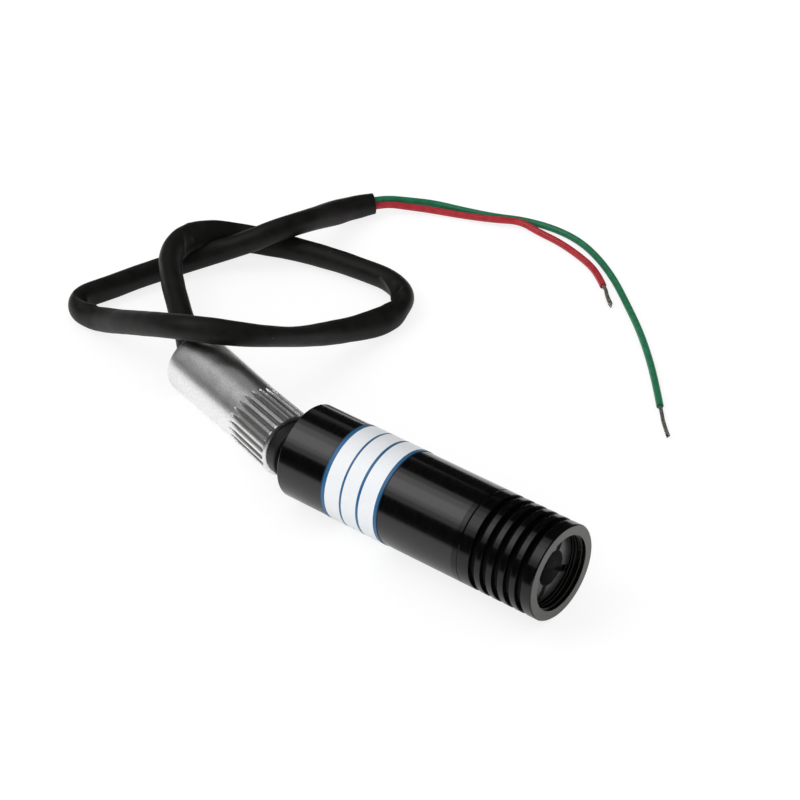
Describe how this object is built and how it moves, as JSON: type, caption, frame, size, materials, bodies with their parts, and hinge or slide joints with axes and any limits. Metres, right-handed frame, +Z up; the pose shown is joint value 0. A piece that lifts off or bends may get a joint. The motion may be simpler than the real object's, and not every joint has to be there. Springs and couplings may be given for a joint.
{
  "type": "laser diode module",
  "caption": "Cylindrical laser diode module with a ribbed head, a focusing lens deep in its mouth, and a jack plug with a sleeved lead at the rear.",
  "frame": {"origin": "centre of the front mouth, on the plane of the front rim", "axes": "+X is the beam, along the housing's axis and out of the front; +Z up; the module lies on its side on a surface 8.08 mm below the origin"},
  "size_m": [0.1176, 0.096, 0.0162],
  "materials": {
    "anodised_housing": "black anodised, satin",
    "label_film": "satin film with two thick and two thin blue lines",
    "black_moulding": "matt black moulding",
    "lens_glass": "polished and coated",
    "bare_aluminium": "turned",
    "spring_steel": "drawn or rolled spring stock",
    "brass": "turned",
    "gilt_metal": "gold flashed",
    "plated_metal": "nickel plated, bright",
    "board_laminate": "green solder resist",
    "ceramic_body": "fired ceramic",
    "blue_moulding": "matt moulding",
    "insulating_film": "rolled film",
    "black_sleeve": "satin, thin-walled flexible sleeve",
    "green_insulation": "satin wire insulation",
    "red_insulation": "satin wire insulation",
    "tinned_copper": "twisted tinned strands"
  },
  "bodies": {
    "root": {"ribbed_head": "anodised_housing", "barrel_body": "anodised_housing", "label_wrap": "label_film", "lens_holder": "black_moulding", "collimating_lens": "lens_glass", "lens_clamp_ring": "bare_aluminium", "focus_spring": "spring_steel", "diode_mount": "brass", "diode_clamp_ring": "brass", "diode_header": "gilt_metal", "diode_cap": "plated_metal", "diode_window": "lens_glass", "diode_chip_block": "gilt_metal", "diode_pins": "gilt_metal", "driver_board": "board_laminate", "driver_ic": "black_moulding", "ic_legs": "plated_metal", "board_capacitors": "ceramic_body", "board_resistors": "black_moulding", "power_trimmer": "blue_moulding", "trimmer_rotor": "brass", "board_liner": "insulating_film", "socket_shell": "black_moulding", "socket_tip_spring": "spring_steel", "socket_sleeve_spring": "spring_steel", "plug_cover": "plated_metal", "plug_collar": "black_moulding", "plug_shank": "plated_metal", "plug_insulator": "black_moulding", "plug_tip": "plated_metal", "plug_lug": "plated_metal", "cable_clamp": "plated_metal", "plug_liner": "insulating_film", "wire_tails": "red_insulation", "cable_sleeve": "black_sleeve", "green_lead": "green_insulation", "red_lead": "red_insulation", "green_strands": "tinned_copper", "red_strands": "tinned_copper"}
  },
  "joints": []
}
